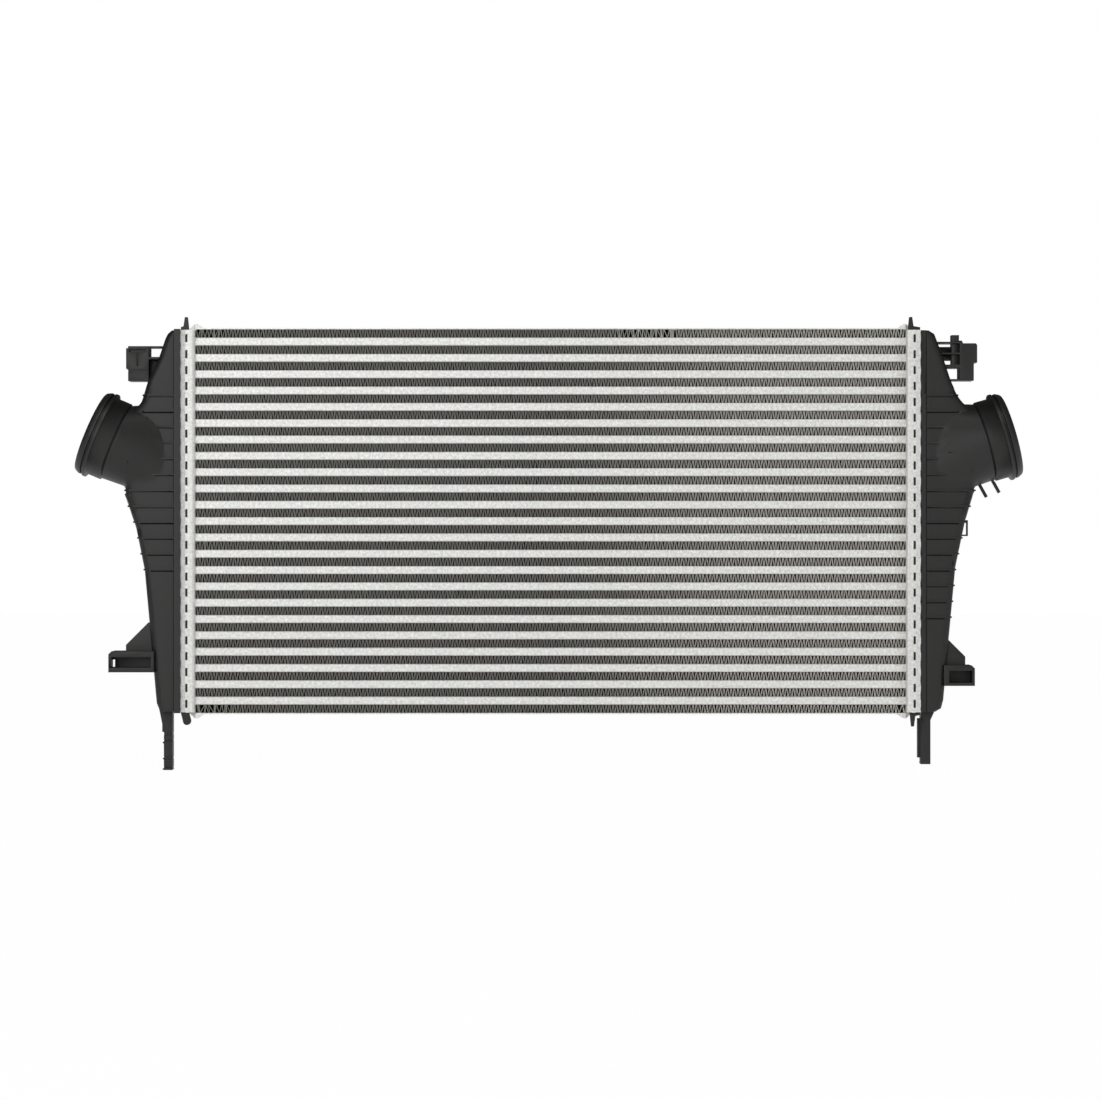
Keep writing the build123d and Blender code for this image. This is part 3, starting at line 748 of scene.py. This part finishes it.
def neck_ring(sizes, tilt):
    """Sleeve, bead, groove and lip round the bore, turned about the neck's axis."""
    sleeve = [
        (ROOT_START, ROOT_RADIUS), (-0.2 * MM, ROOT_RADIUS), (0, SLEEVE_RADIUS - 0.8 * MM),
        (0.8 * MM, SLEEVE_RADIUS), (SLEEVE_END, SLEEVE_RADIUS)]
    bead = [
        (SLEEVE_END + 0.1 * MM, BEAD_RADIUS - 0.5 * MM), (SLEEVE_END + 0.6 * MM, BEAD_RADIUS),
        (BEAD_END - 0.6 * MM, BEAD_RADIUS), (BEAD_END, BEAD_RADIUS - 0.6 * MM)]
    groove = [(BEAD_END, GROOVE_RADIUS), (GROOVE_END, GROOVE_RADIUS)]
    lip = [
        (GROOVE_END + 0.1 * MM, LIP_RADIUS - 0.4 * MM), (GROOVE_END + 0.5 * MM, LIP_RADIUS),
        (LIP_FLAT_END, LIP_RADIUS), (LIP_TAPER_END, LIP_TAPER_RADIUS),
        (NECK_END, LIP_TAPER_RADIUS - MM), (NECK_END, BORE_RADIUS + 0.6 * MM)]
    bore = [(NECK_END - 0.6 * MM, BORE_RADIUS), (ROOT_START, BORE_RADIUS)]
    profile = sleeve + bead + groove + lip + bore
    bm = bmesh.new()
    verts = [bm.verts.new((radius, 0, along)) for along, radius in profile]
    edges = [bm.edges.new((a, b)) for a, b in zip(verts, verts[1:] + verts[:1])]
    bmesh.ops.spin(bm, geom=verts + edges, cent=(0, 0, 0), axis=(0, 0, 1), dvec=(0, 0, 0),
                   angle=2 * math.pi, steps=sizes.turns, use_merge=True, use_duplicate=False)
    bmesh.ops.transform(bm, matrix=neck_matrix(tilt), verts=bm.verts)
    return bm


def gather(*shells):
    """One bmesh with all the shells in it."""
    whole = bmesh.new()
    for shell in shells:
        mesh = bpy.data.meshes.new("part")
        shell.to_mesh(mesh)
        shell.free()
        whole.from_mesh(mesh)
        bpy.data.meshes.remove(mesh)
    return whole


def as_object(bm, name):
    """Temporary object that modifiers work on."""
    bmesh.ops.recalc_face_normals(bm, faces=bm.faces)
    mesh = bpy.data.meshes.new(name)
    bm.to_mesh(mesh)
    bm.free()
    obj = bpy.data.objects.new(name, mesh)
    bpy.context.scene.collection.objects.link(obj)
    return obj


def settled(obj):
    """The object's bmesh with its modifiers worked in; the object itself goes."""
    bpy.context.view_layer.update()
    graph = bpy.context.evaluated_depsgraph_get()
    made = obj.evaluated_get(graph)
    bm = bmesh.new()
    bm.from_mesh(made.to_mesh())
    made.to_mesh_clear()
    mesh = obj.data
    bpy.data.objects.remove(obj)
    bpy.data.meshes.remove(mesh)
    return bm


def cut_away(bm, *tools):
    """Takes the closed tool shapes out of a closed shape."""
    obj = as_object(bm, "stock")
    cutters = [as_object(tool, "tool") for tool in tools]
    for cutter in cutters:
        step = obj.modifiers.new("Cut", "BOOLEAN")
        step.operation = "DIFFERENCE"
        step.solver = "EXACT"
        step.object = cutter
    bm = settled(obj)
    for cutter in cutters:
        mesh = cutter.data
        bpy.data.objects.remove(cutter)
        bpy.data.meshes.remove(mesh)
    return bm


def add_pair(bm, reach, depth, height):
    """Adds a block at the front and one at the back, each measure given as (low, high)."""
    for side in (-1, 1):
        middle = Vector((sum(reach) / 2, side * sum(depth) / 2, sum(height) / 2))
        size = Vector((reach[1] - reach[0], depth[1] - depth[0], height[1] - height[0], 1))
        bmesh.ops.create_cube(bm, size=1, matrix=Matrix.Translation(middle) @ Matrix.Diagonal(size))


def slab_pair(reach, depth):
    """Two long blocks over the tank's front and back faces."""
    bm = bmesh.new()
    end = BODY_HALF_LENGTH + MM
    add_pair(bm, reach, depth, (-end, end))
    return bm


def collar_groove():
    """Fine groove between the collar and the tank's face."""
    return slab_pair((COLLAR_GROOVE, COLLAR_END), (GROOVE_HALF_DEPTH, PAST_FACE))


def over_collar():
    """What stands proud of the collar's face."""
    return slab_pair((COLLAR_START, COLLAR_END), (COLLAR_HALF_DEPTH, PAST_FACE))


def rib_grooves(word):
    """Fine grooves along the lower sides of the ribs, on the tank's front and back faces."""
    bm = bmesh.new()
    depth = (BODY_HALF_DEPTH - RIB_GROOVE_DEPTH, BODY_HALF_DEPTH + RIB_GROOVE_PAST)
    for step in RIB_STEPS[word]:
        height = step * ROW_PITCH + RIB_SHIFT - RIB_WIDTH / 2 - RIB_GROOVE_WIDTH / 2
        outer = reach_at(OUTLINES[word], height) - RIB_GROOVE_MARGIN
        if DUCT_BAND[0] < height < DUCT_BAND[1]:
            outer = min(outer, DUCT_BAND_REACH)
        add_pair(bm, (COLLAR_END, outer), depth,
                 (height - RIB_GROOVE_WIDTH / 2, height + RIB_GROOVE_WIDTH / 2))
    return bm


def leg_bands():
    """Shallow bands sunk across the left leg's front and back faces."""
    bm = bmesh.new()
    depth = (LEG_HALF_DEPTH - LEG_BAND_DEPTH, LEG_HALF_DEPTH + MM)
    for height, width in LEG_BANDS:
        add_pair(bm, LEG_BAND_REACH, depth, (height - width / 2, height + width / 2))
    return bm


def inner_strip():
    """Blocks that set the thin inner strip of the right leg back from the leg's faces."""
    bm = bmesh.new()
    add_pair(bm, INNER_STRIP_REACH, (LEG_HALF_DEPTH - INNER_STRIP_DEPTH, LEG_HALF_DEPTH + MM),
             INNER_STRIP_HEIGHT)
    return bm


def new_duct(tilt, inset, beyond=0.0):
    """The duct as a shape of its own."""
    bm = bmesh.new()
    add_duct(bm, tilt, inset, beyond)
    return bm


def cylinder_on_neck(tilt, radius, stretch):
    """Cylinder on the neck's axis, along a stretch given as (low, high)."""
    low, high = stretch
    bm = bmesh.new()
    place = neck_matrix(tilt) @ Matrix.Translation((0, 0, (low + high) / 2))
    bmesh.ops.create_cone(bm, cap_ends=True, cap_tris=False, segments=CUT_FLATS, radius1=radius,
                          radius2=radius, depth=high - low, matrix=place)
    return bm


def smooth(bm, verts, rounds):
    """Draws each vertex halfway to the middle of its neighbours, again and again."""
    for _ in range(rounds):
        bmesh.ops.smooth_vert(bm, verts=verts, factor=0.5, use_axis_x=True, use_axis_y=True,
                              use_axis_z=True)


def tank_shell(sizes, word):
    """Body and duct joined with a soft blend, and hollowed."""
    outline = OUTLINES[word]
    tilt = TILTS[word]
    solid = gather(body_block(sizes, outline, -BODY_EXTRA, BODY_ROOT), new_duct(tilt, 0, -DUCT_SHORT))
    joined = as_object(solid, "joined")
    grid = joined.modifiers.new("Grid", "REMESH")
    grid.mode = "VOXEL"
    grid.voxel_size = sizes.voxel
    bm = settled(joined)
    shoulder = neck_matrix(tilt).inverted()
    smooth(bm, bm.verts[:], 2)
    soft = [v for v in bm.verts if v.co.x > SOFT_REACH and SOFT_LOW < v.co.z < SOFT_HIGH
            and (shoulder @ v.co).z < SOFT_END]
    smooth(bm, soft, sizes.blend)
    return cut_away(bm, body_block(sizes, outline, sizes.wall, BODY_ROOT - MM),
                    new_duct(tilt, sizes.wall), cylinder_on_neck(tilt, BORE_RADIUS, MOUTH_CUT),
                    collar_groove(), rib_grooves(word))


def on_bracket(edge):
    """Whether an edge belongs to a bracket, leg, lug or rib, and not to the foot or the neck."""
    a, b = (v.co for v in edge.verts)
    outside = min(a.x, b.x) > BRACKET_REACH
    high_up = min(a.z, b.z) > UPPER_BRACKETS and outside
    low_down = max(a.z, b.z) < LOWER_BRACKETS and outside
    below = max(a.z, b.z) < BELOW_TANK
    return edge.is_convex and (high_up or low_down or below)


def tank_fittings(sizes, word, side):
    """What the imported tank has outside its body, duct and neck: foot, ribs, brackets and legs."""
    outline = OUTLINES[word]
    tilt = TILTS[word]
    bm = copy_of(f"end_tank_{word}")
    bmesh.ops.scale(bm, vec=(side, 1, 1), verts=bm.verts)
    bmesh.ops.translate(bm, vec=(-CORE_END, -MID_DEPTH, 0), verts=bm.verts)
    if side == LEFT:
        bmesh.ops.reverse_faces(bm, faces=bm.faces)
        leg = [v for v in bm.verts if v.co.z < LEG_TOP and LEG_INNER < v.co.x < LEG_OUTER]
        bmesh.ops.translate(bm, vec=(LEG_SHIFT, 0, 0), verts=leg)
    bevel_sharp(bm, EDGE_BREAK, CORNER_ANGLE, segments=2, keep=on_bracket)
    return cut_away(bm, body_block(sizes, outline, -FIT, BODY_ROOT - MM),
                    new_duct(tilt, -FIT, DUCT_PAST),
                    cylinder_on_neck(tilt, SLEEVE_RADIUS + 0.05 * MM, SLEEVE_CUT),
                    cylinder_on_neck(tilt, BEAD_CUT_RADIUS, BEAD_CUT), collar_groove(), over_collar(),
                    leg_bands() if side == LEFT else inner_strip())


class COOLER_OT_mould_tanks(bpy.types.Operator):
    """Makes the two end tanks with their soft blends, round necks and broken edges"""

    bl_idname = "cooler.mould_tanks"
    bl_label = "Mould tanks"

    def execute(self, context):
        sizes = context.scene.cooler_tanks
        for word, side in SIDES.items():
            bm = gather(tank_shell(sizes, word), tank_fittings(sizes, word, side),
                        neck_ring(sizes, TILTS[word]))
            bmesh.ops.translate(bm, vec=(CORE_END, MID_DEPTH, 0), verts=bm.verts)
            bmesh.ops.scale(bm, vec=(side, 1, 1), verts=bm.verts)
            tank = add_piece(f"moulded_tank_{word}", bm, tank_plastic(), "tank", f"end_tank_{word}")
            tank.data.set_sharp_from_angle(angle=SMOOTH_ANGLE)
            for face in tank.data.polygons:
                face.use_smooth = True
        return {"FINISHED"}


# Studio
SENSOR = 36                 # width of the camera's sensor in millimetres
CAMERA_SIDE = -0.5 * MM     # how far the camera stands from the core's middle
KEY_PLACE = (-0.85, -2.55, 0.6)
KEY_TARGET = (-0.4, MID_DEPTH, 0.05)
KEY_SIZE = 1.2
FILL_PLACE = (2.3, -1.5, 0.6)
FILL_TARGET = (0.2, MID_DEPTH, 0)
FILL_SIZE = 1.0
TOP_PLACE = (-0.1, -1.3, 2.0)
TOP_TARGET = (0, MID_DEPTH, 0)
TOP_SIZE = 1.0
SKY_TURN = 0.85             # added to the way's depth, which is -1 straight to the front
SKY_FRONT = -0.15
SKY_SIDES = 0.9
WHITE = (1, 1, 1, 1)
FLOOR_COLOUR = (0.95, 0.95, 0.95, 1)
FLOOR_ROUGHNESS = 0.9
FLOOR_HALF = 8
FLOOR_WHITE = 0.985         # share of plain white where the camera sees the floor


def aim(obj, target):
    """Turns a lamp to its target."""
    obj.rotation_euler = (target - obj.location).to_track_quat("-Z", "Y").to_euler()


def stage_lamp(name, place, target, size, power):
    """Round area lamp at a place, turned to its target."""
    data = bpy.data.lights.new(name, "AREA")
    data.shape = "DISK"
    data.size = size
    data.energy = power
    lamp = bpy.data.objects.new(name, data)
    bpy.context.scene.collection.objects.link(lamp)
    lamp.location = place
    aim(lamp, Vector(target))
    return lamp


def white_for_camera(tree, shader_out, share):
    """Mixes a plain white in where the camera, or a reflection, sees the surface."""
    path = tree.nodes.new("ShaderNodeLightPath")
    white = tree.nodes.new("ShaderNodeEmission")
    white.inputs["Color"].default_value = WHITE
    white.inputs["Strength"].default_value = 1
    seen = tree.nodes.new("ShaderNodeMath")
    seen.operation = "MAXIMUM"
    tree.links.new(path.outputs["Is Camera Ray"], seen.inputs[0])
    tree.links.new(path.outputs["Is Glossy Ray"], seen.inputs[1])
    part = tree.nodes.new("ShaderNodeMath")
    part.operation = "MULTIPLY"
    part.inputs[1].default_value = share
    tree.links.new(seen.outputs[0], part.inputs[0])
    mix = tree.nodes.new("ShaderNodeMixShader")
    tree.links.new(part.outputs[0], mix.inputs[0])
    tree.links.new(shader_out, mix.inputs[1])
    tree.links.new(white.outputs[0], mix.inputs[2])
    return mix.outputs[0]


def set_camera(scene, stage):
    """Camera level with the core, looking straight at its front."""
    lens = bpy.data.cameras.new("Camera")
    camera = bpy.data.objects.new("Camera", lens)
    scene.collection.objects.link(camera)
    camera.location = (CAMERA_SIDE, -stage.distance, stage.height)
    camera.rotation_euler = (math.radians(90), 0, 0)
    lens.sensor_width = SENSOR
    lens.lens = SENSOR * stage.distance / stage.width
    scene.camera = camera
    return camera


def set_surroundings(scene, stage):
    """White for the camera; the light itself is strong from the front and weak from behind."""
    world = bpy.data.worlds.new("Studio")
    world.use_nodes = True
    tree = world.node_tree
    tree.nodes.clear()
    sky = tree.nodes.new("ShaderNodeBackground")
    sky.inputs["Color"].default_value = WHITE
    way = tree.nodes.new("ShaderNodeTexCoord")
    parts = tree.nodes.new("ShaderNodeSeparateXYZ")
    front = tree.nodes.new("ShaderNodeMapRange")
    front.interpolation_type = "SMOOTHSTEP"
    front.inputs["From Min"].default_value = SKY_FRONT
    front.inputs["From Max"].default_value = SKY_SIDES
    front.inputs["To Min"].default_value = stage.sky
    front.inputs["To Max"].default_value = stage.sky_behind
    shifted = tree.nodes.new("ShaderNodeMath")
    shifted.operation = "ADD"
    shifted.inputs[1].default_value = SKY_TURN
    tree.links.new(way.outputs["Generated"], parts.inputs[0])
    tree.links.new(parts.outputs["Y"], shifted.inputs[0])
    tree.links.new(shifted.outputs[0], front.inputs["Value"])
    tree.links.new(front.outputs["Result"], sky.inputs["Strength"])
    seen = tree.nodes.new("ShaderNodeBackground")
    seen.inputs["Color"].default_value = WHITE
    seen.inputs["Strength"].default_value = 1
    path = tree.nodes.new("ShaderNodeLightPath")
    mix = tree.nodes.new("ShaderNodeMixShader")
    output = tree.nodes.new("ShaderNodeOutputWorld")
    either = tree.nodes.new("ShaderNodeMath")
    either.operation = "MAXIMUM"
    tree.links.new(path.outputs["Is Camera Ray"], either.inputs[0])
    tree.links.new(path.outputs["Is Transmission Ray"], either.inputs[1])
    tree.links.new(either.outputs[0], mix.inputs[0])
    tree.links.new(sky.outputs[0], mix.inputs[1])
    tree.links.new(seen.outputs[0], mix.inputs[2])
    tree.links.new(mix.outputs[0], output.inputs["Surface"])
    scene.world = world


def set_floor(scene):
    """White floor under the cooler."""
    ground = bmesh.new()
    bmesh.ops.create_grid(ground, x_segments=1, y_segments=1, size=FLOOR_HALF)
    bmesh.ops.translate(ground, verts=ground.verts, vec=(0, 0, frame_low.z))
    mesh = bpy.data.meshes.new("Floor")
    ground.to_mesh(mesh)
    ground.free()
    floor = bpy.data.objects.new("Floor", mesh)
    scene.collection.objects.link(floor)
    material, tree, shader = new_material("White floor")
    shader.inputs["Base Color"].default_value = FLOOR_COLOUR
    shader.inputs["Roughness"].default_value = FLOOR_ROUGHNESS
    output = [n for n in tree.nodes if n.type == "OUTPUT_MATERIAL"][0]
    tree.links.new(white_for_camera(tree, shader.outputs[0], FLOOR_WHITE), output.inputs["Surface"])
    mesh.materials.append(material)
    return floor


class COOLER_OT_set_stage(bpy.types.Operator):
    """Sets the camera, lamps, white floor and white surroundings"""

    bl_idname = "cooler.set_stage"
    bl_label = "Set stage"

    def execute(self, context):
        scene = context.scene
        stage = scene.cooler_stage
        camera = set_camera(scene, stage)
        set_surroundings(scene, stage)
        floor = set_floor(scene)
        key = stage_lamp("Key", KEY_PLACE, KEY_TARGET, KEY_SIZE, stage.key)
        fill = stage_lamp("Fill", FILL_PLACE, FILL_TARGET, FILL_SIZE, stage.fill)
        top = stage_lamp("Top", TOP_PLACE, TOP_TARGET, TOP_SIZE, stage.top)
        fill.visible_glossy = False
        scene.view_settings.view_transform = "Standard"
        return {"FINISHED"}


class COOLER_PT_panel(bpy.types.Panel):
    """The cooler's operators in order"""

    bl_idname = "COOLER_PT_panel"
    bl_label = "Cooler"
    bl_space_type = "VIEW_3D"
    bl_region_type = "UI"
    bl_category = "Cooler"

    def draw(self, context):
        for operator in OPERATORS:
            self.layout.operator(operator.bl_idname)


OPERATORS = (COOLER_OT_dress_core, COOLER_OT_fold_fins, COOLER_OT_press_headers,
             COOLER_OT_mould_tanks, COOLER_OT_set_stage)
SETTINGS = {
    "cooler_finish": CoolerFinish,
    "cooler_fins": CoolerFins,
    "cooler_headers": CoolerHeaders,
    "cooler_tanks": CoolerTanks,
    "cooler_stage": CoolerStage,
}


def register():
    """Registers the settings, operators and panel."""
    for settings in SETTINGS.values():
        bpy.utils.register_class(settings)
    for operator in OPERATORS:
        bpy.utils.register_class(operator)
    bpy.utils.register_class(COOLER_PT_panel)
    for name, settings in SETTINGS.items():
        setattr(bpy.types.Scene, name, PointerProperty(type=settings))


def unregister():
    """Takes back what register did."""
    for name in SETTINGS:
        delattr(bpy.types.Scene, name)
    bpy.utils.unregister_class(COOLER_PT_panel)
    for operator in reversed(OPERATORS):
        bpy.utils.unregister_class(operator)
    for settings in reversed(SETTINGS.values()):
        bpy.utils.unregister_class(settings)


def main():
    """Makes the dressed cooler and its stage."""
    register()
    bpy.ops.cooler.dress_core()
    bpy.ops.cooler.fold_fins()
    bpy.ops.cooler.press_headers()
    bpy.ops.cooler.mould_tanks()
    bpy.ops.cooler.set_stage()


if __name__ == "__main__":
    main()
